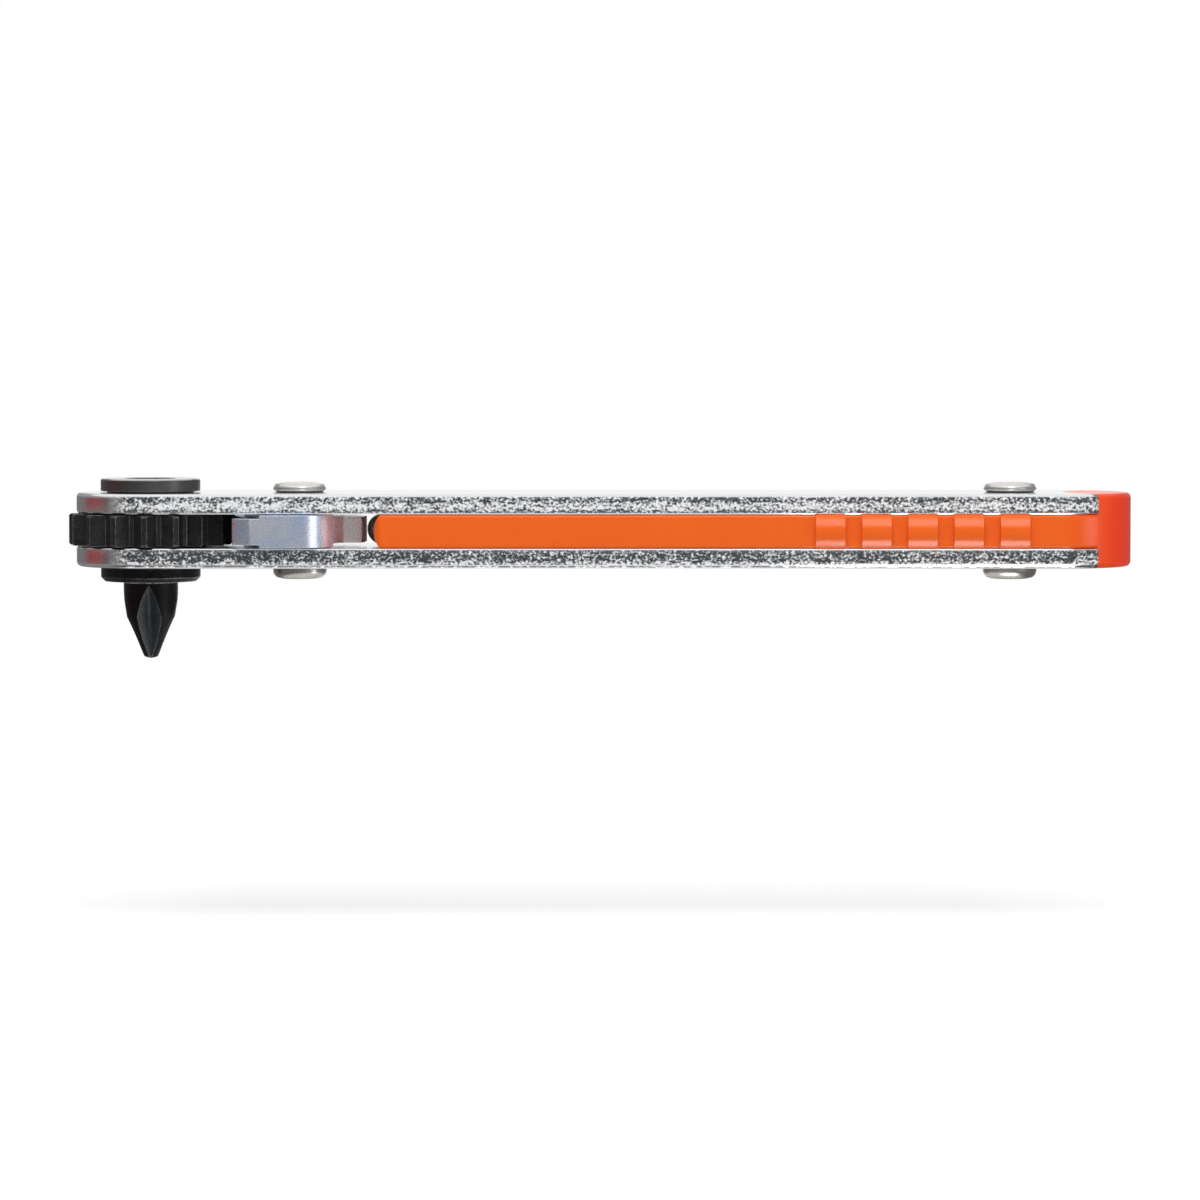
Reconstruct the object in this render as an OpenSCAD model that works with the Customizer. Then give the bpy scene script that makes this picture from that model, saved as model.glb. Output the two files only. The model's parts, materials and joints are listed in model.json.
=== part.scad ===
// Ratcheting offset screwdriver: two steel plates riveted over a plastic grip, with a ratchet gear that
// turns a hexagonal bit and a rocking pawl that picks the direction.
// The origin is on the drive axis, halfway between the plates. X runs to the tail and Z is up.
// The bit points down.

/* [Plates] */
// Width of both plates, and so of the round head and tail
plate_width = 16; // [15:0.5:18]
// Thickness of one plate
plate_thickness = 2.15; // [1.8:0.05:2.6]
// Distance between the inner faces of the plates
plate_gap = 3.7; // [3.6:0.1:4.4]
// Drive axis to the centre of the round tail
tail_centre = 98.5; // [92:0.5:120]
// Radius of the rolled outer edge of a plate
rolled_edge = 0.5; // [0.2:0.05:0.6]
// Edge break on the inner face of a plate
inner_edge = 0.15; // [0.05:0.05:0.3]
// Radius of the hollow arc that ends each plate
end_arc_radius = 9.45; // [9:0.05:11]
// Tail tip back to the deepest point of the hollow arc
end_arc_reach = 7.35; // [6.5:0.05:7.6]

/* [Grip] */
// How far the front of the grip stands ahead of the centre of the detent ball
ball_stand = 0.75; // [0.6:0.05:0.9]
// How far the sides of the grip lie inside the plate edges
grip_recess = 0.1; // [0.05:0.05:0.3]
// Edge radius of the grip between the plates
grip_edge = 0.35; // [0.2:0.05:0.5]
// Edge radius of the end cap
cap_edge = 0.55; // [0.3:0.05:0.8]
// Radius of the rounded front end, seen from the side
grip_nose_radius = 2.6; // [2.4:0.1:3.5]
// Radius of the front corners, seen from above
grip_corner_radius = 1; // [0.5:0.1:2]
// Number of grip ribs on each side
rib_count = 5; // [3:1:7]
// Distance from one rib to the next
rib_pitch = 4.95; // [4.2:0.05:5.5]
// Length of one rib along the handle
rib_length = 3.15; // [2.5:0.05:3.6]
// Radius of the rounded face of a rib
rib_radius = 2.6; // [2.4:0.1:3.2]
// How far a rib stands out past the plate edges
rib_bulge = 0.75; // [0.6:0.05:0.9]

/* [Ratchet gear] */
// Number of ratchet teeth
tooth_count = 16;
// Diameter over the tooth tips
gear_diameter = 17.7; // [17.2:0.1:17.8]
// Depth of the teeth
tooth_depth = 1.35; // [1.2:0.05:1.4]
// Width of the flat tip of a tooth
tooth_tip_width = 0.6; // [0.4:0.05:0.7]
// Width of the flat bottom between two teeth
tooth_root_width = 0.5; // [0.4:0.05:0.7]
// Edge break at the top and bottom of the teeth
tooth_edge = 0.2; // [0.1:0.05:0.3]
// Space between the teeth and each plate
tooth_play = 0.15; // [0.1:0.05:0.4]
// Diameter of the thrust boss around the hub
boss_diameter = 12.6; // [11:0.1:13.5]
// Space between the thrust boss and each plate
boss_play = 0.05; // [0.02:0.01:0.1]
// Wall of the hub around the corners of its bore, where it turns in the plates
hub_wall = 1; // [0.9:0.05:1.3]
// Step on the radius down to the stub that carries each collar
stub_step = 0.45; // [0.3:0.05:0.6]
// Running clearance on the radius of every bearing
running_clearance = 0.05; // [0.02:0.01:0.08]
// Clearance on the radius of pressed and riveted pieces
press_clearance = 0.01; // [0.005:0.005:0.03]

/* [Collars] */
// How far a collar reaches past the hub, on the radius
collar_lip = 0.7; // [0.5:0.05:1.2]
// Thickness of the upper collar
upper_collar_thickness = 1.35; // [1.1:0.05:1.8]
// Thickness of the lower collar
lower_collar_thickness = 1.5; // [1.2:0.05:2]
// Edge break around the top of the upper collar
upper_collar_edge = 0.15; // [0.05:0.05:0.3]
// Edge break around the foot of the lower collar
lower_collar_edge = 0.45; // [0.2:0.05:0.6]
// Space between a collar and its plate
collar_play = 0.15; // [0.05:0.05:0.2]
// Thickness of the lip that stops the bit
stop_thickness = 0.4; // [0.3:0.05:0.6]
// How far the lip covers the end of the bit, on the radius
stop_lip = 0.35; // [0.2:0.05:1]

/* [Driver bit] */
// Distance across the flats of the bit
hex_size = 6.3; // [6.2:0.05:6.35]
// How much is turned off the corners of the bit, on the radius
corner_turn = 0.06; // [0:0.01:0.12]
// Clearance on each flat of the hexagonal bore
hex_clearance = 0.05; // [0.03:0.01:0.08]
// Length of the chamfer at each end of the hexagon
hex_chamfer = 0.8; // [0.4:0.1:1.2]
// Space between the bit and its stop
bit_end_play = 0.05; // [0.02:0.01:0.1]
// Step on the radius from the flats down to the round tip
tip_step = 0.2; // [0.1:0.05:0.35]
// Length of the tip below the lower collar
tip_length = 8.4; // [8:0.1:9.5]
// Length of the slight taper ahead of the pointed end
tip_taper = 1.75; // [1:0.05:2]
// Loss of radius over the slight taper
tip_taper_depth = 0.12; // [0.05:0.01:0.25]
// Half angle of the pointed end
point_angle = 25.5; // [24:0.5:27]
// Radius where the pointed end becomes the nose
nose_radius = 0.78; // [0.7:0.02:0.9]
// Height of the nose
nose_height = 0.25; // [0.15:0.05:0.4]
// Radius of the small flat on the nose
nose_flat_radius = 0.4; // [0.3:0.05:0.5]
// Radius of the solid core between the flutes at the tip
core_radius = 0.62; // [0.5:0.02:0.7]
// Radius of the wheel that cuts the flutes
flute_wheel_radius = 12.9; // [12:0.1:14]
// Half angle of the rim of that wheel
flute_half_angle = 47; // [45.5:0.5:50]
// Height of the deepest cut above the nose
flute_height = 0.6; // [0.4:0.1:1]

/* [Bit ring] */
// Wire diameter of the ring that grips the bit
ring_wire = 0.6; // [0.5:0.05:0.65]
// Clearance between the ring and the corners of the bit
ring_clearance = 0.08; // [0.04:0.01:0.12]
// Clearance around the wire in its groove
ring_groove_clearance = 0.05; // [0.03:0.01:0.1]
// Angle of the gap in the ring
ring_gap_angle = 50; // [30:5:90]

/* [Pawl] */
// Tooth tips to the pawl pivot
pivot_reach = 7.35; // [7.25:0.05:7.55]
// Swing from the middle to either working position
pawl_swing = 14; // [13:0.5:15]
// How deep a claw reaches between the teeth
claw_depth = 0.65; // [0.5:0.05:0.8]
// Clearance between a claw and the tooth tips at rest, where the teeth ride past it
ride_clearance = 0.08; // [0.05:0.01:0.15]
// Half width of the flat tip of a claw
claw_tip_half_width = 0.3; // [0.2:0.05:0.35]
// Half angle of a claw
claw_half_angle = 33; // [28:1:34]
// Length of the working face of a claw
claw_length = 0.75; // [0.7:0.05:0.9]
// Clearance between the body of the pawl and the tooth tips
tooth_clearance = 0.25; // [0.2:0.05:0.4]
// How far the crests of the thumb lobes lie inside the tooth tips
lobe_inset = 0.1; // [0:0.05:0.35]
// Pivot to the front corner of a lobe
lobe_front = 6.3; // [6:0.1:6.5]
// Pivot to the back corner of a lobe
lobe_back = 2; // [1.8:0.1:2.3]
// Pivot to the crest of a lobe, along the handle
crest_offset = 0.1; // [0:0.1:0.4]
// Drop of the front and back corners of a lobe below its crest
lobe_drop = [0.3, 1.2];
// Corner radius at the back of a lobe
lobe_back_radius = 2.2; // [1.5:0.1:2.5]
// Corner radius at the front of a lobe
lobe_front_radius = 0.5; // [0.3:0.1:0.8]
// Radius of the rounded crest of a lobe
lobe_crest_radius = 4.375; // [3.5:0.125:4.5]
// Pivot to the waist, where a lobe meets the tail
waist_reach = 4; // [3.8:0.1:4.3]
// Radius of the hollow corner at the waist
waist_radius = 0.8; // [0.5:0.1:1.2]
// Half width of the tail
tail_half_width = 3.6; // [3.4:0.1:3.8]
// Radius of the round back of the tail about the pivot
tail_reach = 7.3; // [7.2:0.05:7.4]
// Depth of the two detent hollows in the round back
notch_depth = 0.25; // [0.2:0.01:0.28]
// Length of the thick middle part ahead of and behind the pivot
pad_reach = [5.3, 3.0];
// Space between the thick middle part and each plate
pad_play = 0.1; // [0.05:0.05:0.2]
// Space between the thin ends and each plate
thin_play = 0.45; // [0.25:0.05:0.5]

/* [Rivets] */
// Centre of the round tail back to the tail rivet
rivet_inset = 5.2; // [4.6:0.1:8]
// Shank diameter of both rivets
rivet_diameter = 3; // [2.6:0.1:3.2]
// Head diameter of both rivets
rivet_head_diameter = 5.8; // [5.4:0.1:6.2]
// Height of the formed heads above
rivet_head_height = 1.12; // [0.9:0.02:1.3]
// Height of the round heads below
round_head_height = 1.4; // [1.1:0.05:1.6]
// Outer diameter of the sleeve that the pawl turns on
bush_diameter = 4.5; // [4.2:0.1:5]

/* [Detent] */
// Diameter of the detent ball
ball_diameter = 3.4; // [3:0.1:3.5]
// Clearance between the ball and the round back of the pawl
ball_play = 0.03; // [0.02:0.01:0.05]
// Clearance on each side of the ball in its slot
slot_clearance = 0.05; // [0.03:0.01:0.1]
// Wire diameter of the spring
spring_wire = 0.4; // [0.3:0.05:0.45]
// How far the spring lies inside the ball, on the radius
spring_inset = 0.15; // [0.1:0.05:0.25]
// Distance from one curl of the spring to the next
spring_pitch = 1; // [0.95:0.05:1.2]
// Number of curls of the spring
spring_curls = 8; // [6:1:10]
// Space at each end of the spring
spring_end_play = 0.03; // [0.01:0.01:0.05]

/* [Hidden] */
$fn = 96;
// How far a cut runs past the piece it cuts
overrun = plate_thickness / 4;
// Steps of a rounded edge, and of a rounded corner
edge_steps = 4;
corner_steps = 10;
// Turn that keeps the seam of the turned tip clear of the flutes
seam_turn = 45;
half_width = plate_width / 2;
half_gap = plate_gap / 2;
plate_top = half_gap + plate_thickness;
end_arc_centre = tail_centre + half_width - end_arc_reach + end_arc_radius;
gear_radius = gear_diameter / 2;
root_radius = gear_radius - tooth_depth;
tooth_half = half_gap - tooth_play;
tooth_pitch_angle = 360 / tooth_count;
bore_size = hex_size + 2 * hex_clearance;
bore_corner_radius = bore_size / sqrt(3);
journal_radius = bore_corner_radius + hub_wall;
stub_radius = journal_radius - stub_step;
hub_end = plate_top + collar_play;
collar_radius = journal_radius + collar_lip;
upper_collar_top = hub_end + upper_collar_thickness;
lower_collar_foot = -hub_end - lower_collar_thickness;
stop_height = upper_collar_top - stop_thickness;
stop_hole_radius = hex_size / 2 - stop_lip;
bit_top = stop_height - bit_end_play;
hex_corner_radius = hex_size / sqrt(3) - corner_turn;
tip_radius = hex_size / 2 - tip_step;
tip_end = lower_collar_foot - tip_length;
ring_inner_radius = hex_corner_radius + ring_clearance;
ring_middle_radius = ring_inner_radius + ring_wire / 2;
groove_radius = ring_inner_radius + ring_wire + ring_groove_clearance;
rivet_radius = rivet_diameter / 2;
rivet_hole_radius = rivet_radius + press_clearance;
rivet_head_radius = rivet_head_diameter / 2;
bush_radius = bush_diameter / 2;
pawl_pivot = gear_radius + pivot_reach;
claw_reach_radius = gear_radius - claw_depth;
lobe_half_width = gear_radius - lobe_inset;
tail_rivet = tail_centre - rivet_inset;
ball_radius = ball_diameter / 2;
ball_x = pawl_pivot + tail_reach + ball_play + ball_radius;
grip_front = ball_x - ball_stand;
slot_half_width = ball_radius + slot_clearance;
notch_radius = slot_half_width;
notch_centre = tail_reach - notch_depth + notch_radius;
spring_start = ball_x + ball_radius + spring_end_play + spring_wire / 2;
spring_length = spring_pitch * spring_curls;
spring_diameter = ball_diameter - 2 * spring_inset;
slot_end = spring_start + spring_length + spring_wire / 2 + spring_end_play;
// The claws meet the second pair of tooth gaps from the handle axis
claw_gap_angle = 1.5 * tooth_pitch_angle;
// Profile shares of the rivet heads: part of the head radius, part of the head height
formed_head_shares = [[0.872, 0], [1, 0.33], [0.91, 0.8], [0.55, 0.97]];
round_head_shares = [[1, 0], [1, 0.42], [0.965, 0.66], [0.86, 0.88], [0.66, 0.98]];

function unit(v) = v / norm(v);
function turned(p, angle) = [p[0] * cos(angle) - p[1] * sin(angle), p[0] * sin(angle) + p[1] * cos(angle)];
function at_angle(radius, angle) = [radius * cos(angle), radius * sin(angle)];
// Points of a corner of radius r at b, between its neighbours a and c
function corner(a, b, c, r) =
    let (u = unit(a - b), v = unit(c - b), half = acos(u * v) / 2, middle = b + unit(u + v) * r / sin(half))
    let (p = b + u * r / tan(half) - middle, q = b + v * r / tan(half) - middle)
    [for (i = [0 : corner_steps]) middle + r * unit(p * (corner_steps - i) + q * i)];
// Points of a quarter round of radius r whose corner is at b, turning from angle start
function quarter(b, r, start, steps) = [for (i = [0 : steps]) b + at_angle(r, start + 90 * i / steps)];

// Half section of a plate, from the middle line to its rolled edge, with the inner face at height 0
plate_section = concat(
    [[0, 0], [half_width - inner_edge, 0], [half_width, inner_edge]],
    quarter([half_width - rolled_edge, plate_thickness - rolled_edge], rolled_edge, 0, edge_steps),
    [[0, plate_thickness]]);

// Half section of the grip with half height h and edge radius r
function grip_section(h, r) = let (w = half_width - grip_recess) concat(
    [[0, -h]],
    quarter([w - r, r - h], r, -90, edge_steps),
    quarter([w - r, h - r], r, 0, edge_steps),
    [[0, h]]);

// Outline of the gear teeth
tooth_points = [for (k = [0 : tooth_count - 1])
    let (
        middle = k * tooth_pitch_angle,
        tip = asin(tooth_tip_width / 2 / gear_radius),
        root = tooth_pitch_angle / 2 - asin(tooth_root_width / 2 / root_radius))
    each [at_angle(root_radius, middle - root), at_angle(gear_radius, middle - tip),
        at_angle(gear_radius, middle + tip), at_angle(root_radius, middle + root)]];

// Point of a claw in the frame of the pawl: s along the claw from its tip, w across it
function claw_point(s, w) =
    turned(at_angle(claw_reach_radius + s, claw_gap_angle) + w * at_angle(1, claw_gap_angle + 90)
        - [pawl_pivot, 0], -pawl_swing);
// Angle at the pivot that brings the end of an arm to a radius of the gear
function pivot_angle(arm, radius) = acos((pawl_pivot ^ 2 + arm ^ 2 - radius ^ 2) / (2 * pawl_pivot * arm));
// How far the pawl turns back from its working position until a corner of the claw clears the teeth
function lift_angle(p) = let (arm = norm(p - [pawl_pivot, 0]))
    pivot_angle(arm, gear_radius + ride_clearance) - pivot_angle(arm, norm(p));
ride_angle = pawl_swing - max([for (w = [-1, 1])
    lift_angle(at_angle(claw_reach_radius, claw_gap_angle)
        + w * claw_tip_half_width * at_angle(1, claw_gap_angle + 90))]);
echo(ride_angle = ride_angle);
claw_width = claw_tip_half_width + claw_length * tan(claw_half_angle);
pawl_front = -pawl_pivot * cos(pawl_swing) + gear_radius + tooth_clearance;
claw_inner_tip = claw_point(0, -claw_tip_half_width);
claw_inner_base = claw_point(claw_length, -claw_width);
// Where the inner face of the claw meets the flat front of the pawl
claw_root = claw_inner_base + (claw_inner_base - claw_inner_tip)
    * (pawl_front - claw_inner_base[0]) / (claw_inner_base[0] - claw_inner_tip[0]);
lobe_corner = [-lobe_front, lobe_half_width - lobe_drop[0]];
lobe_crest = [crest_offset, lobe_half_width];
lobe_heel = [lobe_back, lobe_half_width - lobe_drop[1]];
waist = [waist_reach, tail_half_width];
claw_outer_base = claw_point(claw_length, claw_width);
// One side of the pawl from its flat front to the tail
pawl_side = concat(
    [claw_root, claw_inner_tip, claw_point(0, claw_tip_half_width), claw_outer_base],
    corner(claw_outer_base, lobe_corner, lobe_crest, lobe_front_radius),
    corner(lobe_corner, lobe_crest, lobe_heel, lobe_crest_radius),
    corner(lobe_crest, lobe_heel, waist, lobe_back_radius),
    corner(lobe_heel, waist, [tail_reach, tail_half_width], waist_radius));
function mirrored_back(points) = [for (i = [len(points) - 1 : -1 : 0]) [points[i][0], -points[i][1]]];

// Centre line and wall points of the spring
function spring_ring(i, sides, per_curl) =
    let (a = 360 * i / per_curl, r = (spring_diameter - spring_wire) / 2)
    [for (j = [0 : sides - 1])
        let (b = 360 * j / sides, d = r + spring_wire / 2 * cos(b))
        [spring_start + spring_pitch * i / per_curl + spring_wire / 2 * sin(b), d * cos(a), d * sin(a)]];
echo(least_gap_between_spring_curls = spring_pitch - spring_wire);

module plate() {
    difference() {
        union() {
            rotate([0, 0, 90])
                rotate_extrude(angle = 180)
                    polygon(plate_section);
            for (side = [0, 1])
                mirror([0, side, 0])
                    rotate([90, 0, 90])
                        linear_extrude(tail_centre)
                            polygon(plate_section);
            translate([tail_centre, 0, 0])
                rotate([0, 0, -90])
                    rotate_extrude(angle = 180)
                        polygon(plate_section);
        }
        translate([0, 0, -overrun])
            cylinder(r = journal_radius + running_clearance, h = plate_thickness + 2 * overrun);
        for (x = [pawl_pivot, tail_rivet])
            translate([x, 0, -overrun])
                cylinder(r = rivet_hole_radius, h = plate_thickness + 2 * overrun);
        translate([end_arc_centre, 0, -overrun])
            cylinder(r = end_arc_radius, h = plate_thickness + 2 * overrun);
    }
}

module upper_plate() {
    color("Silver")
        translate([0, 0, half_gap])
            plate();
}

module lower_plate() {
    color("Silver")
        mirror([0, 0, 1])
            translate([0, 0, half_gap])
                plate();
}

// Straight part of the grip with its rounded front
module grip_bar() {
    intersection() {
        for (side = [0, 1])
            mirror([0, side, 0])
                rotate([90, 0, 90])
                    linear_extrude(tail_centre)
                        polygon(grip_section(half_gap, grip_edge));
        rotate([90, 0, 0])
            linear_extrude(2 * plate_width, center = true)
                union() {
                    translate([grip_front + grip_nose_radius, 0])
                        circle(r = grip_nose_radius);
                    translate([grip_front + grip_nose_radius, -plate_gap])
                        square([tail_centre, 2 * plate_gap]);
                }
        linear_extrude(2 * plate_gap, center = true) {
            translate([grip_front + grip_corner_radius, -plate_width])
                square([tail_centre, 2 * plate_width]);
            for (side = [-1, 1])
                translate([grip_front + grip_corner_radius,
                    side * (half_width - grip_recess - grip_corner_radius)])
                    circle(r = grip_corner_radius);
            translate([grip_front, grip_recess + grip_corner_radius - half_width])
                square([grip_corner_radius, plate_width - 2 * grip_recess - 2 * grip_corner_radius]);
        }
    }
}

module grip_tail(half_height, edge) {
    translate([tail_centre, 0, 0])
        rotate([0, 0, -90])
            rotate_extrude(angle = 180)
                polygon(grip_section(half_height, edge));
}

module grip_rib() {
    rib_centre = half_width + rib_bulge - rib_radius;
    intersection() {
        translate([-rib_length / 2, rib_centre, 0])
            rotate([0, 90, 0])
                cylinder(r = rib_radius, h = rib_length);
        translate([-rib_length, rib_centre, -half_gap])
            cube([2 * rib_length, 2 * rib_radius, plate_gap]);
    }
}

module grip() {
    color("DarkOrange")
        difference() {
            union() {
                grip_bar();
                grip_tail(half_gap, grip_edge);
                intersection() {
                    grip_tail(plate_top, cap_edge);
                    translate([end_arc_centre, 0, -plate_width])
                        cylinder(r = end_arc_radius - running_clearance, h = 2 * plate_width);
                }
                for (k = [0 : rib_count - 1], side = [0, 1])
                    translate([tail_rivet - k * rib_pitch, 0, 0])
                        mirror([0, side, 0])
                            grip_rib();
            }
            translate([grip_front - overrun, -slot_half_width, -plate_gap])
                cube([slot_end - grip_front + overrun, 2 * slot_half_width, 2 * plate_gap]);
            translate([tail_rivet, 0, -plate_gap])
                cylinder(r = rivet_hole_radius, h = 2 * plate_gap);
        }
}

module ratchet_gear() {
    color("DimGray")
        difference() {
            union() {
                intersection() {
                    linear_extrude(2 * tooth_half, center = true)
                        polygon(tooth_points);
                    rotate_extrude()
                        polygon([[0, -tooth_half], [gear_radius - tooth_edge, -tooth_half],
                            [gear_radius + tooth_edge, 2 * tooth_edge - tooth_half],
                            [gear_radius + tooth_edge, tooth_half - 2 * tooth_edge],
                            [gear_radius - tooth_edge, tooth_half], [0, tooth_half]]);
                }
                cylinder(r = boss_diameter / 2, h = plate_gap - 2 * boss_play, center = true);
                cylinder(r = journal_radius, h = 2 * hub_end, center = true);
                translate([0, 0, lower_collar_foot + collar_play])
                    cylinder(r = stub_radius,
                        h = stop_height - press_clearance - lower_collar_foot - collar_play);
            }
            cylinder(r = bore_corner_radius, h = 2 * plate_width, center = true, $fn = 6);
            cylinder(r = groove_radius, h = ring_wire + 2 * ring_groove_clearance, center = true);
        }
}

module upper_collar() {
    color("SlateGray")
        difference() {
            rotate_extrude()
                polygon([[0, hub_end], [collar_radius, hub_end],
                    [collar_radius, upper_collar_top - upper_collar_edge],
                    [collar_radius - upper_collar_edge, upper_collar_top], [0, upper_collar_top]]);
            translate([0, 0, hub_end - overrun])
                cylinder(r = stub_radius + press_clearance, h = stop_height - hub_end + overrun);
            translate([0, 0, hub_end])
                cylinder(r = stop_hole_radius, h = upper_collar_thickness + overrun);
        }
}

module lower_collar() {
    color("DimGray")
        difference() {
            rotate_extrude()
                polygon([[0, lower_collar_foot], [collar_radius - lower_collar_edge, lower_collar_foot],
                    [collar_radius, lower_collar_foot + lower_collar_edge],
                    [collar_radius, -hub_end], [0, -hub_end]]);
            translate([0, 0, lower_collar_foot - overrun])
                cylinder(r = stub_radius + press_clearance, h = lower_collar_thickness + 2 * overrun);
        }
}

module bit_ring() {
    color("LightSteelBlue")
        rotate([0, 0, ring_gap_angle / 2])
            rotate_extrude(angle = 360 - ring_gap_angle)
                translate([ring_middle_radius, 0])
                    circle(r = ring_wire / 2, $fn = 24);
}

// Wheel shaped cutter whose rim lies deepest at the foot of a flute
module flute_wheel() {
    rim = 2 * tip_radius;
    translate([0, -core_radius - flute_wheel_radius, tip_end + flute_height])
        rotate([0, 90, 0])
            rotate_extrude()
                polygon([[0, -rim * tan(flute_half_angle)],
                    [flute_wheel_radius - rim, -rim * tan(flute_half_angle)],
                    [flute_wheel_radius, 0],
                    [flute_wheel_radius - rim, rim * tan(flute_half_angle)],
                    [0, rim * tan(flute_half_angle)]]);
}

module driver_bit() {
    point_radius = tip_radius - tip_taper_depth;
    point_foot = tip_end + nose_height;
    point_top = point_foot + (point_radius - nose_radius) / tan(point_angle);
    hex_foot = lower_collar_foot + collar_play;
    color("DarkSlateGray")
        difference() {
            intersection() {
                translate([0, 0, tip_end - overrun])
                    cylinder(r = hex_size / sqrt(3), h = bit_top - tip_end + 2 * overrun, $fn = 6);
                rotate([0, 0, seam_turn])
                    rotate_extrude()
                        polygon([[0, tip_end], [nose_flat_radius, tip_end], [nose_radius, point_foot],
                            [point_radius, point_top], [tip_radius, point_top + tip_taper],
                            [tip_radius, hex_foot], [hex_corner_radius, hex_foot + hex_chamfer],
                            [hex_corner_radius, bit_top - hex_chamfer], [tip_radius, bit_top], [0, bit_top]]);
            }
            for (quarter_turn = [0 : 3])
                rotate([0, 0, 90 * quarter_turn])
                    flute_wheel();
        }
}

module pawl_outline() {
    polygon(concat(pawl_side, mirrored_back(pawl_side)));
    intersection() {
        circle(r = tail_reach);
        translate([0, -tail_half_width])
            square([tail_reach, 2 * tail_half_width]);
    }
}

module pawl() {
    color("LightSteelBlue")
        translate([pawl_pivot, 0, 0])
            rotate([0, 0, ride_angle])
                difference() {
                    union() {
                        linear_extrude(plate_gap - 2 * thin_play, center = true)
                            pawl_outline();
                        linear_extrude(plate_gap - 2 * pad_play, center = true)
                            intersection() {
                                pawl_outline();
                                translate([-pad_reach[0], -plate_width])
                                    square([pad_reach[0] + pad_reach[1], 2 * plate_width]);
                            }
                    }
                    cylinder(r = bush_radius + running_clearance, h = 2 * plate_gap, center = true);
                    for (side = [-1, 1], turn = [ride_angle, pawl_swing])
                        rotate([0, 0, side * turn])
                            translate([notch_centre, 0, 0])
                                cylinder(r = notch_radius, h = 2 * plate_gap, center = true);
                }
}

module pawl_bush() {
    color("Silver")
        translate([pawl_pivot, 0, 0])
            difference() {
                cylinder(r = bush_radius, h = plate_gap, center = true);
                cylinder(r = rivet_hole_radius, h = 2 * plate_gap, center = true);
            }
}

// Rivet with a formed head above and a round head below
module rivet() {
    above = [for (s = formed_head_shares) [s[0] * rivet_head_radius, plate_top + s[1] * rivet_head_height]];
    below = [for (s = round_head_shares) [s[0] * rivet_head_radius, -plate_top - s[1] * round_head_height]];
    rotate_extrude()
        polygon(concat(
            [[0, -plate_top - round_head_height]],
            [for (i = [len(below) - 1 : -1 : 0]) below[i]],
            [[rivet_radius, -plate_top], [rivet_radius, plate_top]],
            above,
            [[0, plate_top + rivet_head_height]]));
}

module pawl_rivet() {
    color("Tan")
        translate([pawl_pivot, 0, 0])
            rivet();
}

module tail_rivet_piece() {
    color("Tan")
        translate([tail_rivet, 0, 0])
            rivet();
}

module detent_ball() {
    color("Gray")
        translate([ball_x, 0, 0])
            sphere(r = ball_radius);
}

module detent_spring() {
    sides = 6;
    per_curl = 8;
    rings = spring_curls * per_curl;
    first_cap = [for (j = [0 : sides - 1]) j];
    last_cap = [for (j = [sides - 1 : -1 : 0]) rings * sides + j];
    walls = [for (i = [0 : rings - 1], j = [0 : sides - 1])
        let (k = (j + 1) % sides)
        each [[i * sides + j, (i + 1) * sides + j, (i + 1) * sides + k],
            [i * sides + j, (i + 1) * sides + k, i * sides + k]]];
    color("LightGray")
        polyhedron(
            points = [for (i = [0 : rings]) each spring_ring(i, sides, per_curl)],
            faces = concat([first_cap, last_cap], walls),
            convexity = 10);
}

upper_plate();
lower_plate();
grip();
ratchet_gear();
upper_collar();
lower_collar();
bit_ring();
driver_bit();
pawl();
pawl_bush();
pawl_rivet();
tail_rivet_piece();  // tail_rivet
detent_ball();
detent_spring();
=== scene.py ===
import json
import math

import bmesh
import bpy
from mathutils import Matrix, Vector


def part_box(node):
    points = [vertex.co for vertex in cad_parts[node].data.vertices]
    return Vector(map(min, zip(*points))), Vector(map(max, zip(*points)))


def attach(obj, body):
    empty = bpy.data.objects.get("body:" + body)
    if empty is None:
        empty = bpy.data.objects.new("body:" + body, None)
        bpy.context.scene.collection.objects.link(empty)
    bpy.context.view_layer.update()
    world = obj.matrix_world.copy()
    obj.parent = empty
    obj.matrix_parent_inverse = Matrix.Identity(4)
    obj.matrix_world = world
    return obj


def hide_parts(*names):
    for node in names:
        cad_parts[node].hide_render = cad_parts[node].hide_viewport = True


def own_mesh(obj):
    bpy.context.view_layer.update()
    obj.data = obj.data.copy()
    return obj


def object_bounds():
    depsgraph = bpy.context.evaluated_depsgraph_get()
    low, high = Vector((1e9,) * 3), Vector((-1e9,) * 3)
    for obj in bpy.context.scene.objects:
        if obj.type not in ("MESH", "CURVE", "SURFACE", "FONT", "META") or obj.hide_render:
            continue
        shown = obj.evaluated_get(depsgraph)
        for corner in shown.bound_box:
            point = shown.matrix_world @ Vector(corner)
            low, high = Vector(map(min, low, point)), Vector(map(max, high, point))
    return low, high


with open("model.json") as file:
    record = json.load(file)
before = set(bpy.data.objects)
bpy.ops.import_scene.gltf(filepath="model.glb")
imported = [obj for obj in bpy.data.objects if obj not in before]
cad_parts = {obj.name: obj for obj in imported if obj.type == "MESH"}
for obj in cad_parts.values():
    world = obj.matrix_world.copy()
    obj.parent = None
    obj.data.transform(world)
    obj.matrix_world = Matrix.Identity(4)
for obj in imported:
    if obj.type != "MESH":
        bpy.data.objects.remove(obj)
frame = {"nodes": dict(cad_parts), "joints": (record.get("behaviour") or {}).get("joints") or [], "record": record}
cad_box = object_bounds()

MM = 0.001
PER_MM = 1000.0

# Camera: straight at the side of the handle and a little above it
VIEW_TARGET = Vector((0.0488, 0, -0.00774))
VIEW_DISTANCE = 0.6
VIEW_ELEVATION = math.radians(2.9)
VIEW_WIDTH = 0.13043
SENSOR_WIDTH = 36.0

# Studio light
FILL_LEVEL = 0.36
FLOOR_COLOUR = 0.8
FLOOR_LIFT = 0.36
FLOOR_DROP = 0.03
FLOOR_WIDTH = 4.0
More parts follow.
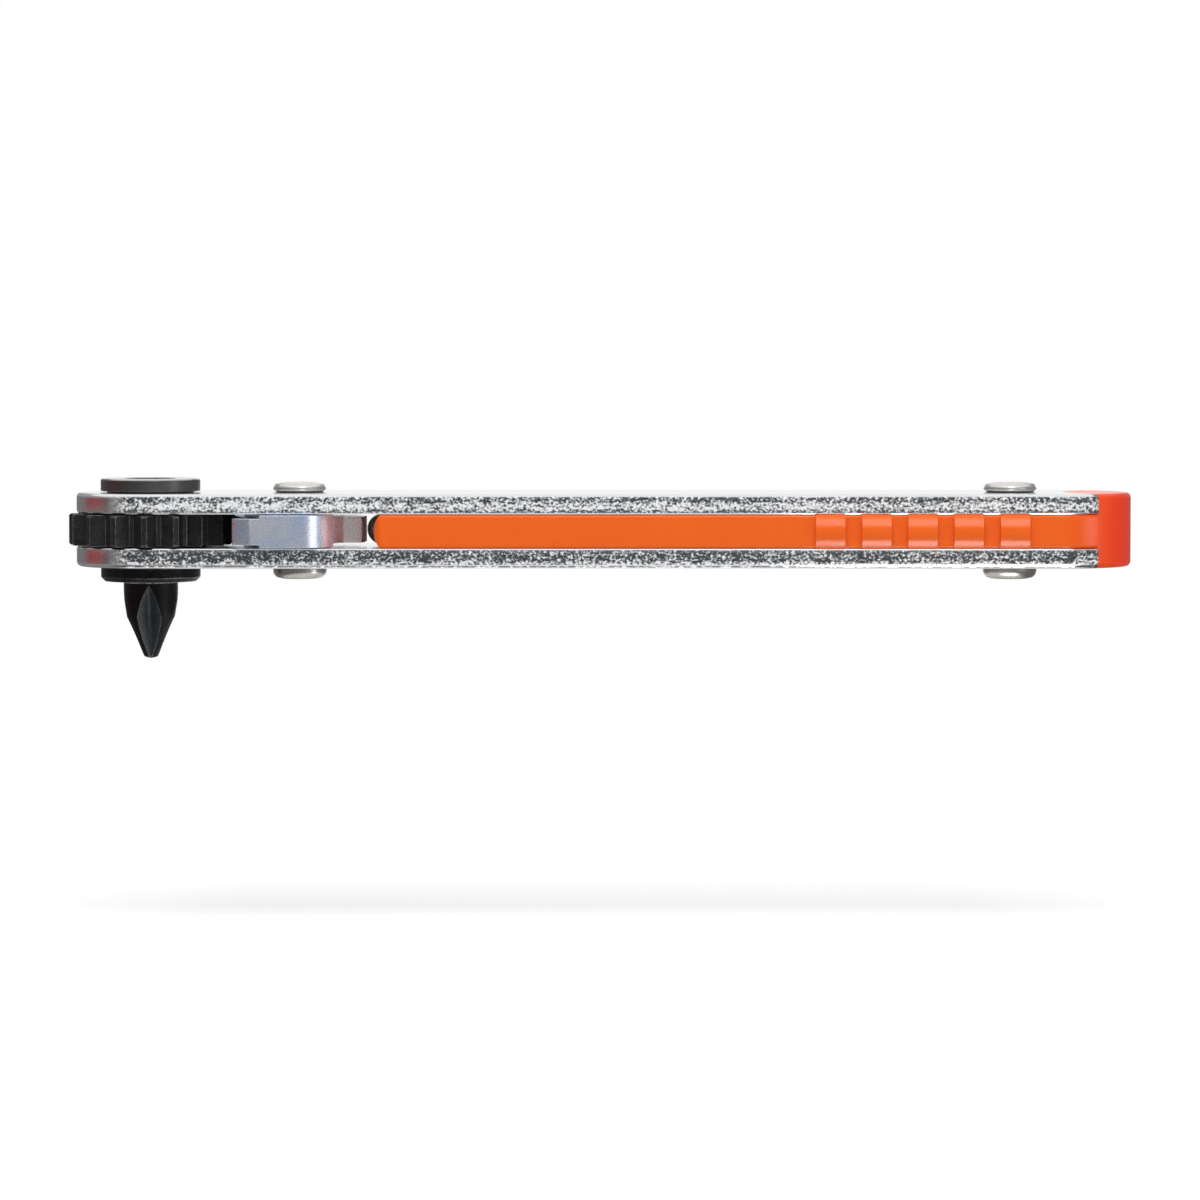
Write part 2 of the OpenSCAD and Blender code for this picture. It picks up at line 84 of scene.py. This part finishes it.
# Distances over which the floor runs out into white
FLOOR_FADE = (0.09, 0.24)
# The cards stand on the floor, are coloured up to the split and neutral above it
CARD_FOOT = 0.065
CARD_RADIUS = 0.5
CARD_SPLIT = 0.045
CARD_TOP = 0.33
CARD_STEPS = 24
# Cards that reflections see: name, first and last angle from the front in degrees, colour
CARDS = (
    ("front_card", -36, 35, (0.32, 0.32, 0.33)),
    ("left_front_card", -74, -36, (0.03, 0.045, 0.04)),
    ("left_card", -112, -74, (0.39, 0.005, 0.01)),
    ("left_rear_card", -165, -112, (0.22, 0.21, 0.21)),
    ("right_front_card", 35, 85, (0.36, 0.43, 0.52)),
    ("right_card", 85, 165, (0.26, 0.2, 0.2)),
)
FLOOR_CARD = ("floor_card", -165, 165, (0.24, 0.235, 0.23))
UPPER_CARD = ("upper_card", -165, 165, (0.36, 0.36, 0.37))
# Places along the handle that the lamps aim at
MIDDLE = VIEW_TARGET.x
PAWL = 0.018
RIBS = 0.092
# Lamps: name, place, aim, width, depth, power in watts,
# whether it lights surfaces, whether reflections show it
LAMPS = (
    ("upper_soft_box", (MIDDLE, -0.32, 0.41), (MIDDLE, 0, 0), 0.4, 0.3, 2.0, True, False),
    ("rear_soft_box", (MIDDLE, 0.4, 0.38), (MIDDLE, 0, 0), 0.6, 0.4, 0.75, True, False),
    ("upper_strip", (MIDDLE, -0.32, 0.41), (MIDDLE, 0, 0), 0.4, 0.06, 0.7, False, True),
    ("side_soft_box", (MIDDLE + 0.35, -0.25, -0.01), (PAWL, 0, 0), 0.17, 0.06, 0.085, True, True),
    ("low_strip", (RIBS, -0.027, -0.035), (RIBS, -0.008, 0), 0.04, 0.02, 0.016, False, True),
    ("rib_strip", (RIBS + 0.03, -0.34, 0.22), (RIBS, 0, 0), 0.07, 0.14, 0.15, False, True),
)

# Mesh finishing
WELD = 0.002 * MM
FLAT_ANGLE = math.radians(0.4)
CREASE_ANGLE = math.radians(24)
SMOOTH_ANGLE = math.radians(38)
EDGE_STEPS = 2
# How far the sharp edges of a node are rounded
EDGE_ROUND = {
    "grip": 0.18 * MM,
    "ratchet_gear": 0.09 * MM,
    "upper_collar": 0.05 * MM,
    "lower_collar": 0.07 * MM,
    "pawl": 0.06 * MM,
    "pawl_bush": 0.05 * MM,
}
WING_ANGLE = math.radians(40)
WING_ROUND = 0.07 * MM
FLUTE_WELD = 0.08 * MM
FLUTE_ROOT_SHARE = 40
FLUTE_STEPS = 5
# A face that looks more nearly than this along or away from the drive axis is no flute
FLUTE_FACING = 0.8
# Coats by their place in a piece's list. The last keeps the coat of the faces beside it
BODY_COAT, EDGE_COAT, FLUTE_COAT, SAME_COAT = 0, 1, 2, -1

# Detent spring
SPRING_CURLS = 8
SPRING_WIRE_RADIUS = 0.2 * MM
SPRING_STEPS = 36
SPRING_SIDES = 12

# Where a finish, a painted shade or a painted reflection changes along the handle, in millimetres
HEAD_END = (-4.4, -1.8)
# Past here the cap's orange turns redder and darker: painted shade of the rounded tail
CAP_PAINTED_SHADE = (97.0, 107.0)
# Past these the pawl's colour is a painted reflection of the orange grip, pink on the heel and paler on the tail
PAWL_WAIST = (18.7, 19.3)
PAWL_TAIL = (20.6, 21.2)
# Between the lower head, in painted shade, and the upper head of a rivet, in millimetres
RIVET_MIDDLE = (-1.0, 1.0)
# Painted highlight on the bit about the foot of the lower collar, in millimetres
FOOT_HIGHLIGHT_RISE = (-0.24, -0.12)
FOOT_HIGHLIGHT_FALL = (0.0, 0.1)
# Rolled line and torn band of a plate's edge, as shares of its height; the torn band holds more painted glints
ROLLED_RISE = (0.04, 0.08)
ROLLED_FALL = (0.13, 0.17)
TORN_RISE = (0.02, 0.14)
TORN_FALL = (0.38, 0.52)
# Depth of the relief of each finish
SHEARED_RELIEF = 0.07 * MM
SKIN_RELIEF = 0.014 * MM
OXIDE_RELIEF = 0.02 * MM
LATHE_RELIEF = 0.004 * MM
ZINC_RELIEF = 0.008 * MM
RIVET_RELIEF = 0.01 * MM
SCRATCH_RELIEF = 0.001 * MM
WIRE_RELIEF = 0.004 * MM
EDGE_RELIEF = 0.004 * MM


class Wire:
    """An output of a shader node that can stand in a Python expression."""

    def __init__(self, nodes, socket):
        self.nodes = nodes
        self.socket = socket

    def __add__(self, other):
        return self.nodes.math("ADD", self, other)

    def __radd__(self, other):
        return self.nodes.math("ADD", other, self)

    def __sub__(self, other):
        return self.nodes.math("SUBTRACT", self, other)

    def __rsub__(self, other):
        return self.nodes.math("SUBTRACT", other, self)

    def __mul__(self, other):
        return self.nodes.math("MULTIPLY", self, other)

    def __rmul__(self, other):
        return self.nodes.math("MULTIPLY", other, self)

    def __truediv__(self, other):
        return self.nodes.math("DIVIDE", self, other)

    def __abs__(self):
        return self.nodes.math("ABSOLUTE", self, 0.0)


class NodeBench:
    """Builds one node tree. Every node comes from node()."""

    def __init__(self, tree):
        self.tree = tree

    def feed(self, socket, value):
        if isinstance(value, Wire):
            self.tree.links.new(value.socket, socket)
        else:
            socket.default_value = value

    def node(self, kind, settings=None, sockets=None, output=0):
        made = self.tree.nodes.new(kind)
        for name, value in (settings or {}).items():
            setattr(made, name, value)
        for name, value in (sockets or {}).items():
            self.feed(made.inputs[name], value)
        return Wire(self, made.outputs[output])

    def math(self, operation, a, b):
        return self.node("ShaderNodeMath", {"operation": operation}, {0: a, 1: b})

    def vector(self, operation, sockets, output=0):
        return self.node("ShaderNodeVectorMath", {"operation": operation}, sockets, output)

    def blend(self, share, a, b):
        """Colour a where share is 0 and colour b where it is 1."""
        return self.node("ShaderNodeMix", {"data_type": "RGBA"}, {0: share, 6: a, 7: b}, output=2)

    def rise(self, value, low, high):
        """A soft step from 0 at low to 1 at high."""
        return self.node(
            "ShaderNodeMapRange",
            {"interpolation_type": "SMOOTHSTEP"},
            {"Value": value, "From Min": low, "From Max": high},
        )

    def band(self, value, up, down):
        """A soft band that rises over the range up and falls over the range down."""
        return self.rise(value, *up) * (1 - self.rise(value, *down))


class Finish(NodeBench):
    """The surface finish of a piece: a material with a Principled shader."""

    def __init__(self, name):
        self.material = bpy.data.materials.new(name)
        self.material.use_nodes = True
        super().__init__(self.material.node_tree)
        self.shader = self.tree.nodes["Principled BSDF"]
        own_place = self.node("ShaderNodeTexCoord", output="Object")
        self.place = self.vector("SCALE", {0: own_place, "Scale": PER_MM})

    def stretched(self, x, y, z):
        """The place on the piece in millimetres, scaled by x, y and z."""
        return self.vector("MULTIPLY", {0: self.place, 1: (x, y, z)})

    def noise(self, scale, detail=2.0, roughness=0.5, place=None):
        return self.node(
            "ShaderNodeTexNoise",
            None,
            {"Vector": place or self.place, "Scale": scale, "Detail": detail, "Roughness": roughness},
        )

    def axis(self, vector, letter):
        return self.node("ShaderNodeSeparateXYZ", None, {0: vector}, output=letter)

    def facing_up(self):
        """1 on faces that look up or down, 0 on upright walls."""
        return abs(self.axis(self.node("ShaderNodeTexCoord", output="Normal"), "Z"))

    def bump(self, height, depth):
        """Relief of the given depth in metres."""
        return self.node("ShaderNodeBump", None, {"Strength": 1.0, "Distance": depth, "Height": height})

    def surface(self, **sockets):
        """Feeds the shader. An underscore in a name stands for a space."""
        for name, value in sockets.items():
            self.feed(self.shader.inputs[name.replace("_", " ")], value)
        return self.material


def shaded(colour, share=1.0):
    """A colour times a share, for a shader's socket."""
    return tuple(share * part for part in colour) + (1,)


def plated_steel():
    """Bright plating on the faces. The sheared edges are coarse, apart from the smooth round head, and carry dark
    and bright flecks that are painted reflections and glints.
    """
    finish = Finish("plated_steel")
    share, upper = plate_height(finish)
    wide = upper * finish.rise(share, 0.5, 0.6)
    edge = 1 - finish.rise(finish.facing_up(), 0.05 + 0.25 * wide, 0.25 + 0.35 * wide)
    past_head = finish.rise(finish.axis(finish.place, "X"), *HEAD_END)
    coarse = edge * past_head
    grain = finish.noise(3.8, 3.0, 0.6, finish.stretched(0.85, 0.85, 1.0))
    streak = finish.noise(1.5, 3.0, 0.6, finish.stretched(0.5, 0.5, 1.6))
    brushed = finish.noise(1.0, 3.0, 0.6, finish.stretched(0.25, 6.0, 6.0))
    cloud = finish.noise(0.12, 2.0)
    face = finish.blend(cloud * 0.5 + brushed * 0.5, (0.70, 0.71, 0.73, 1), (0.90, 0.905, 0.915, 1))
    # Painted reflections and glints: the dark and bright flecks of the sheared edges
    tear_glint_bias = 0.07 * torn_glint_band(finish, share, upper) + 0.12 * (cloud - 0.5)
    glint_mask = finish.rise(0.7 * grain + 0.3 * streak + tear_glint_bias, 0.455, 0.625)
    painted_edge_glints = finish.blend(glint_mask, (0.04, 0.045, 0.05, 1), (0.88, 0.89, 0.90, 1))
    smooth = finish.blend(grain, (0.5, 0.5, 0.51, 1), (0.74, 0.74, 0.75, 1))
    rolled = past_head * (1 - upper) * rolled_line(finish, share)
    wall = finish.blend(edge, face, finish.blend(past_head, smooth, painted_edge_glints))
    relief = coarse * (grain * 0.6 + streak * 0.4) + 0.1 * edge * grain + 0.02 * brushed
    return finish.surface(
        Base_Color=finish.blend(rolled, wall, (0.05, 0.055, 0.06, 1)),
        Metallic=1 - 0.85 * coarse,
        Roughness=0.14 + 0.1 * brushed + 0.08 * edge + 0.2 * coarse,
        Normal=finish.bump(relief, SHEARED_RELIEF),
    )


def plate_height(finish):
    """Height on either plate, from 0 at its foot to 1 at its head, and 1 on the upper plate."""
    low_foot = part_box("lower_plate")[0][2] * PER_MM
    low_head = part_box("lower_plate")[1][2] * PER_MM
    high_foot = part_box("upper_plate")[0][2] * PER_MM
    height = finish.axis(finish.place, "Z")
    upper = finish.math("GREATER_THAN", height, 0.0)
    share = (height - low_foot - (high_foot - low_foot) * upper) / (low_head - low_foot)
    return share, upper


def rolled_line(finish, share):
    """A broken dark line low on the rolled edge."""
    broken = finish.rise(finish.noise(1.6, 3.0, 0.6, finish.stretched(1.0, 1.0, 2.0)), 0.36, 0.56)
    return 0.85 * broken * finish.band(share, ROLLED_RISE, ROLLED_FALL)


def torn_glint_band(finish, share, upper):
    """A band of more painted glints on a plate's edge under the tear, fewer on the lower plate."""
    drift = finish.noise(0.5, 2.0, 0.5, finish.stretched(1.0, 1.0, 0.0))
    level = share + 0.1 - 0.22 * upper + 0.5 * (drift - 0.5)
    return finish.band(level, TORN_RISE, TORN_FALL) + 0.3 * upper - 0.3


def orange_plastic():
    """Glossy moulded plastic with a fine spark-eroded skin, in a painted shade of redder, darker orange towards
    the tail.
    """
    finish = Finish("orange_plastic")
    skin = finish.noise(4.0, 2.0)
    cloud = finish.noise(0.15, 2.0)
    # Painted shade: the orange turns redder and darker towards the rounded tail
    tail = finish.rise(finish.axis(finish.place, "X"), *CAP_PAINTED_SHADE)
    body = finish.blend(cloud, (0.82, 0.112, 0.003, 1), (0.85, 0.126, 0.004, 1))
    return finish.surface(
        Base_Color=finish.blend(tail, body, (0.9, 0.036, 0.004, 1)),
        Specular_IOR_Level=0.42,
        Roughness=0.2 + 0.06 * skin,
        Normal=finish.bump(skin, SKIN_RELIEF),
    )


def black_oxide(name, shade, gloss, foot_highlight_height=None):
    """Blackened steel with a faint grain, and a painted highlight band round it at the height in millimetres that
    the last argument gives.
    """
    finish = Finish(name)
    grain = finish.noise(6.0, 3.0, 0.6)
    cloud = finish.noise(0.5, 2.0)
    mottle = finish.rise(grain * 0.7 + cloud * 0.3, 0.35, 0.65)
    tone = finish.blend(mottle, shaded(shade, 0.5), shaded(shade, 2.6))
    if foot_highlight_height is not None:
        # Painted highlight: a pale broken band at the foot of the lower collar
        highlight_mark = finish.band(finish.axis(finish.place, "Z") - foot_highlight_height, FOOT_HIGHLIGHT_RISE, FOOT_HIGHLIGHT_FALL)
        tone = finish.blend(highlight_mark * finish.rise(grain, 0.3, 0.6), tone, (0.42, 0.42, 0.43, 1))
    return finish.surface(
        Base_Color=tone,
        Specular_IOR_Level=gloss,
        Roughness=0.28 + 0.16 * grain,
        Normal=finish.bump(grain, OXIDE_RELIEF),
    )


def turned_steel():
    """Dark steel with the fine rings that a lathe leaves; faces that look up or down are lighter, a painted
    highlight of the top.
    """
    finish = Finish("collar_steel")
    radius = finish.vector("LENGTH", {0: finish.stretched(1.0, 1.0, 0.0)}, output="Value")
    height = finish.axis(finish.place, "Z")
    up = finish.rise(finish.facing_up(), 0.4, 0.7)
    across = radius * up + height * (1 - up)
    rings = finish.node(
        "ShaderNodeTexNoise", {"noise_dimensions": "1D"}, {"W": across, "Scale": 14.0, "Detail": 3.0}
    )
    cloud = finish.noise(0.6, 3.0)
    wall = finish.blend(cloud, (0.095, 0.094, 0.094, 1), (0.17, 0.168, 0.168, 1))
    # Painted highlight: faces that look up or down are much lighter than the walls
    return finish.surface(
        Base_Color=finish.blend(up, wall, (0.46, 0.46, 0.47, 1)),
        Metallic=1.0,
        Roughness=0.3 + 0.16 * rings - 0.2 * up,
        Normal=finish.bump(rings, LATHE_RELIEF),
    )


def zinc_steel():
    """Zinc plate, passivated blue on the lobe; the warmer tints towards the tail are a painted reflection of the
    orange grip.
    """
    finish = Finish("zinc_steel")
    cloud = finish.noise(0.45, 3.0, 0.6)
    grain = finish.noise(4.0, 3.0)
    blue = finish.blend(finish.rise(cloud, 0.35, 0.65), (0.64, 0.76, 0.98, 1), (0.80, 0.83, 0.90, 1))
    along = finish.axis(finish.place, "X")
    waist = finish.rise(along, *PAWL_WAIST)
    tail = finish.rise(along, *PAWL_TAIL)
    # Painted reflection of the orange grip: pink on the heel, paler on the tail
    painted_grip_reflection = finish.blend(tail, (0.99, 0.7, 0.75, 1), (0.96, 0.9, 0.885, 1))
    return finish.surface(
        Base_Color=finish.blend(waist, blue, painted_grip_reflection),
        Metallic=0.86 - 0.7 * waist * (1 - tail) - 0.16 * tail,
        Roughness=0.2 + 0.14 * grain,
        Normal=finish.bump(grain, ZINC_RELIEF),
    )


def rivet_steel():
    """Satin nickel on a headed rivet, darker on the lower head as painted shade."""
    finish = Finish("rivet_steel")
    grain = finish.noise(5.0, 3.0, 0.6)
    cloud = finish.noise(0.8, 2.0)
    upper = finish.rise(finish.axis(finish.place, "Z"), *RIVET_MIDDLE)
    # Painted shade: the lower head is a darker copy of the upper head's nickel
    lower_head_painted_shade = finish.blend(cloud, (0.34, 0.325, 0.305, 1), (0.50, 0.48, 0.455, 1))
    bright = finish.blend(cloud, (0.60, 0.58, 0.55, 1), (0.82, 0.80, 0.765, 1))
    return finish.surface(
        Base_Color=finish.blend(upper, lower_head_painted_shade, bright),
        Metallic=1.0,
        Roughness=0.22 + 0.14 * grain,
        Normal=finish.bump(grain, RIVET_RELIEF),
    )


def polished_steel():
    """Bright steel of the ball, with a few fine scratches."""
    finish = Finish("ball_steel")
    scratches = finish.noise(2.0, 4.0, 0.6, finish.stretched(1.0, 1.0, 8.0))
    return finish.surface(
        Base_Color=finish.blend(scratches, (0.66, 0.66, 0.68, 1), (0.76, 0.76, 0.78, 1)),
        Metallic=1.0,
        Roughness=0.4 + 0.12 * scratches,
        Normal=finish.bump(scratches, SCRATCH_RELIEF),
    )


def drawn_wire():
    """Spring wire, drawn and lightly oiled."""
    finish = Finish("spring_steel")
    drawn = finish.noise(3.0, 3.0)
    return finish.surface(
        Base_Color=finish.blend(drawn, (0.42, 0.42, 0.44, 1), (0.6, 0.6, 0.63, 1)),
        Metallic=1.0,
        Roughness=0.24 + 0.12 * drawn,
        Normal=finish.bump(drawn, WIRE_RELIEF),
    )


def highlit_edge(name, shade):
    """Lighter rounded edges, broken up: partly coating rubbed thin, partly a painted highlight."""
    finish = Finish(name)
    highlight_mark = finish.noise(2.5, 3.0, 0.6)
    return finish.surface(
        Base_Color=finish.blend(finish.rise(highlight_mark, 0.4, 0.62), shaded(shade, 0.4), shaded(shade)),
        Metallic=0.9,
        Roughness=0.26 + 0.12 * highlight_mark,
        Normal=finish.bump(highlight_mark, EDGE_RELIEF),
    )


def carrier(node):
    """The body that a node rides on."""
    bodies = frame["record"]["behaviour"]["bodies"]
    return next(body for body, nodes in bodies.items() if node in nodes)


def sharp_edges(form, crease):
    return [edge for edge in form.edges if edge.is_manifold and edge.calc_face_angle() > crease]


def round_edges(form, edges, width, measure="OFFSET", steps=EDGE_STEPS, coat=EDGE_COAT):
    bmesh.ops.bevel(
        form, geom=edges, offset=width, offset_type=measure, segments=steps, profile=0.5,
        affect="EDGES", clamp_overlap=measure == "OFFSET", material=coat,
    )


def in_flute(face):
    """Whether a face of the bit lies in a flute: it looks neither along nor away from the drive axis."""
    centre = face.calc_center_median()
    outward = Vector((centre.x, centre.y, 0)).normalized()
    return abs(face.normal.z) < FLUTE_FACING and face.normal.dot(outward) < FLUTE_FACING


def plain_form(node):
    """The welded form of a CAD node, without the seams between its facets."""
    form = bmesh.new()
    form.from_mesh(frame["nodes"][node].data)
    bmesh.ops.remove_doubles(form, verts=form.verts, dist=WELD)
    bmesh.ops.dissolve_limit(form, angle_limit=FLAT_ANGLE, verts=form.verts, edges=form.edges)
    for face in form.faces:
        face.material_index = BODY_COAT
    return form


def finish_piece(node, coats):
    """A finished piece on the form of a CAD node; the sharp edges of the nodes in EDGE_ROUND are softened in the
    second coat.
    """
    form = plain_form(node)
    if node in EDGE_ROUND:
        round_edges(form, sharp_edges(form, CREASE_ANGLE), EDGE_ROUND[node])
    seat_piece(node, coats, form)


def finish_bit(coats):
    """The bit, with lighter wing edges in the second coat, partly rubbed and partly a painted highlight, and
    round-rooted flutes in the third, a lighter coat of painted sheen.
    """
    form = plain_form("driver_bit")
    bmesh.ops.dissolve_degenerate(form, dist=FLUTE_WELD, edges=form.edges)
    for face in form.faces:
        face.material_index = FLUTE_COAT if in_flute(face) else BODY_COAT
    roots = [edge for edge in sharp_edges(form, WING_ANGLE) if not edge.is_convex]
    wings = [edge for edge in sharp_edges(form, WING_ANGLE) if edge.is_convex]
    round_edges(form, wings, WING_ROUND)
    inner = [edge for edge in roots if edge.is_valid and inside_flute(edge)]
    round_edges(form, inner, FLUTE_ROOT_SHARE, "PERCENT", FLUTE_STEPS, SAME_COAT)
    seat_piece("driver_bit", coats, form)


def inside_flute(edge):
    """Whether all that meets an edge of the bit lies in a flute."""
    return all(face.material_index == FLUTE_COAT for spot in edge.verts for face in spot.link_faces)


def seat_piece(node, coats, form):
    """Turns a form into an object that stands for a CAD node and rides on its body."""
    mesh = bpy.data.meshes.new(node + "_finished")
    for face in form.faces:
        face.smooth = True
    form.to_mesh(mesh)
    form.free()
    mesh.set_sharp_from_angle(angle=SMOOTH_ANGLE)
    for coat in coats:
        mesh.materials.append(coat)
    piece = bpy.data.objects.new(node + "_finished", mesh)
    bpy.context.scene.collection.objects.link(piece)
    even = piece.modifiers.new("even_shading", "WEIGHTED_NORMAL")
    even.keep_sharp = True
    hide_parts(node)
    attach(piece, carrier(node))
    return piece


def spring_form():
    """A round wire wound with closed ends, on the room of the CAD spring."""
    low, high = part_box("detent_spring")
    coil_radius = high[1] - SPRING_WIRE_RADIUS
    start = low[0] + SPRING_WIRE_RADIUS
    length = high[0] - low[0] - 2 * SPRING_WIRE_RADIUS
    form = bmesh.new()
    rings = []
    count = SPRING_CURLS * SPRING_STEPS
    for i in range(count + 1):
        turn = 2 * math.pi * i / SPRING_STEPS
        along = start + length * i / count
        ring = []
        for j in range(SPRING_SIDES):
            around = 2 * math.pi * j / SPRING_SIDES
            reach = coil_radius + SPRING_WIRE_RADIUS * math.cos(around)
            forward = along + SPRING_WIRE_RADIUS * math.sin(around)
            ring.append(form.verts.new((forward, reach * math.cos(turn), reach * math.sin(turn))))
        rings.append(ring)
    for ring, after in zip(rings, rings[1:]):
        for j in range(SPRING_SIDES):
            k = (j + 1) % SPRING_SIDES
            form.faces.new((ring[j], after[j], after[k], ring[k]))
    form.faces.new(rings[0])
    form.faces.new(reversed(rings[-1]))
    bmesh.ops.recalc_face_normals(form, faces=form.faces)
    return form


def make_pieces():
    plate_coat = plated_steel()
    grip_coat = orange_plastic()
    gear_coat = black_oxide("black_steel", (0.009, 0.0095, 0.01), 0.25)
    # Lighter tooth edges: partly rubbed oxide, partly painted highlight
    gear_edge = highlit_edge("black_steel_worn_highlit", (0.22, 0.22, 0.23))
    stop_coat = black_oxide("black_steel_stop", (0.005, 0.0045, 0.0045), 0.1)
    # Lighter edges of the lower collar: a painted highlight along its foot
    stop_edge = highlit_edge("black_steel_foot_highlight", (0.12, 0.12, 0.125))
    collar_coat = turned_steel()
    stop_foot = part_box("lower_collar")[0][2] * PER_MM
    bit_coat = black_oxide("bit_steel", (0.003, 0.002, 0.002), 0.13, stop_foot)
    # Lighter wing edges: partly rubbed coating, partly painted highlight
    bit_edge = highlit_edge("bit_steel_worn_highlit", (0.3, 0.31, 0.33))
    # Lighter bluish flutes: a painted sheen on the otherwise black bit
    flute_sheen_coat = black_oxide("bit_steel_flute_sheen", (0.013, 0.016, 0.0195), 0.4)
    pawl_coat = zinc_steel()
    rivet_coat = rivet_steel()
    wire_coat = drawn_wire()
    for node in ("upper_plate", "lower_plate"):
        finish_piece(node, [plate_coat])
    finish_piece("grip", [grip_coat, grip_coat])
    finish_piece("ratchet_gear", [gear_coat, gear_edge])
    finish_piece("upper_collar", [collar_coat, collar_coat])
    finish_piece("lower_collar", [stop_coat, stop_edge])
    finish_bit([bit_coat, bit_edge, flute_sheen_coat])
    finish_piece("bit_ring", [wire_coat])
    finish_piece("pawl", [pawl_coat, pawl_coat])
    finish_piece("pawl_bush", [pawl_coat, pawl_coat])
    for node in ("pawl_rivet", "tail_rivet"):
        finish_piece(node, [rivet_coat])
    finish_piece("detent_ball", [polished_steel()])
    spring = seat_piece("detent_spring", [wire_coat], spring_form())
    low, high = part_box("detent_spring")
    travel = next(joint for joint in frame["joints"] if joint["name"] == "ball_slide")["range_m"][1]
    keep = 1 - travel / (high[0] - low[0])
    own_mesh(spring)


def seen_directly(bench):
    """1 for rays of the camera, of reflections and of clear materials, 0 for light on the object."""
    path = "ShaderNodeLightPath"
    shown = bench.node(path, output="Is Camera Ray")
    mirrored = bench.node(path, output="Is Glossy Ray")
    passed = bench.node(path, output="Is Transmission Ray")
    return bench.math("MINIMUM", shown + mirrored + passed, 1.0)


def light_world():
    world = bpy.data.worlds.new("studio")
    bpy.context.scene.world = world
    world.use_nodes = True
    bench = NodeBench(world.node_tree)
    seen = seen_directly(bench)
    background = world.node_tree.nodes["Background"]
    background.inputs["Color"].default_value = (1, 1, 1, 1)
    bench.feed(background.inputs["Strength"], FILL_LEVEL + (1 - FILL_LEVEL) * seen)


def flat_panel(name, width):
    """A flat square about its own origin, facing up."""
    mesh = bpy.data.meshes.new(name)
    form = bmesh.new()
    corners = ((-1, -1), (1, -1), (1, 1), (-1, 1))
    form.faces.new([form.verts.new((x * width / 2, y * width / 2, 0)) for x, y in corners])
    form.to_mesh(mesh)
    form.free()
    panel = bpy.data.objects.new(name, mesh)
    bpy.context.scene.collection.objects.link(panel)
    return panel


def bare_material(name):
    """A material without a shader, with its bench and the socket that a shader goes into."""
    material = bpy.data.materials.new(name)
    material.use_nodes = True
    nodes = material.node_tree.nodes
    nodes.remove(nodes["Principled BSDF"])
    return material, NodeBench(material.node_tree), nodes["Material Output"].inputs["Surface"]


def floor_height():
    return cad_box[0][2] - FLOOR_DROP


def lay_floor():
    """A pale floor that keeps the shadow near the object and runs out into white."""
    floor = flat_panel("floor", FLOOR_WIDTH)
    floor.location = (MIDDLE, 0, floor_height())
    material, bench, outlet = bare_material("pale_floor")
    place = bench.node("ShaderNodeTexCoord", output="Object")
    far = bench.rise(bench.vector("LENGTH", {0: place}, output="Value"), *FLOOR_FADE)
    matt = bench.node("ShaderNodeBsdfDiffuse", None, {"Color": shaded((1, 1, 1), FLOOR_COLOUR)})
    lift = bench.node("ShaderNodeEmission", None, {"Strength": FLOOR_LIFT * seen_directly(bench)})
    near = bench.node("ShaderNodeAddShader", None, {0: matt, 1: lift})
    white = bench.node("ShaderNodeEmission", None, {"Strength": 1.0})
    bench.feed(outlet, bench.node("ShaderNodeMixShader", None, {0: far, 1: near, 2: white}))
    floor.data.materials.append(material)


def curved_card(name, first, last, colour, profile):
    """A card round the object that only reflections see. The profile gives its radii and heights."""
    form = bmesh.new()
    columns = []
    for i in range(CARD_STEPS + 1):
        angle = math.radians(first + (last - first) * i / CARD_STEPS)
        across, ahead = math.sin(angle), -math.cos(angle)
        columns.append([form.verts.new((r * across, r * ahead, z)) for r, z in profile])
    for left, right in zip(columns, columns[1:]):
        form.faces.new((left[0], right[0], right[1], left[1]))
    mesh = bpy.data.meshes.new(name)
    form.to_mesh(mesh)
    form.free()
    card = bpy.data.objects.new(name, mesh)
    bpy.context.scene.collection.objects.link(card)
    card.location = (MIDDLE, 0, 0)
    material, bench, outlet = bare_material(name)
    glow = bench.node("ShaderNodeEmission", None, {"Color": shaded(colour), "Strength": 1.0})
    bench.feed(outlet, glow)
    card.data.materials.append(material)
    card.visible_camera = False
    card.visible_diffuse = False
    card.visible_shadow = False
    card.visible_transmission = False


def hang_cards():
    foot = floor_height() + MM
    curved_card(*FLOOR_CARD, ((CARD_FOOT, foot), (CARD_RADIUS, foot)))
    for card in CARDS:
        curved_card(*card, ((CARD_RADIUS, foot), (CARD_RADIUS, CARD_SPLIT)))
    curved_card(*UPPER_CARD, ((CARD_RADIUS, CARD_SPLIT), (CARD_RADIUS, CARD_TOP)))


def soft_box(name, spot, aim, width, depth, power, lights, mirrored):
    """A rectangular lamp that the camera doesn't see, for surfaces, for reflections or for both."""
    lamp = bpy.data.lights.new(name, "AREA")
    lamp.shape = "RECTANGLE"
    lamp.size = width
    lamp.size_y = depth
    lamp.energy = power
    box = bpy.data.objects.new(name, lamp)
    bpy.context.scene.collection.objects.link(box)
    box.location = spot
    box.rotation_euler = (Vector(aim) - Vector(spot)).to_track_quat("-Z", "Y").to_euler()
    box.visible_camera = False
    box.visible_diffuse = lights
    box.visible_glossy = mirrored


def light_studio():
    for lamp in LAMPS:
        soft_box(*lamp)


def place_camera():
    lens = bpy.data.cameras.new("camera")
    lens.sensor_width = SENSOR_WIDTH
    lens.lens = SENSOR_WIDTH * VIEW_DISTANCE / VIEW_WIDTH
    camera = bpy.data.objects.new("camera", lens)
    bpy.context.scene.collection.objects.link(camera)
    back = Vector((0, -math.cos(VIEW_ELEVATION), math.sin(VIEW_ELEVATION)))
    camera.location = VIEW_TARGET + back * VIEW_DISTANCE
    camera.rotation_euler = (-back).to_track_quat("-Z", "Y").to_euler()
    bpy.context.scene.camera = camera


make_pieces()
light_world()
lay_floor()
hang_cards()
light_studio()
place_camera()
bpy.context.scene.view_settings.view_transform = "Standard"
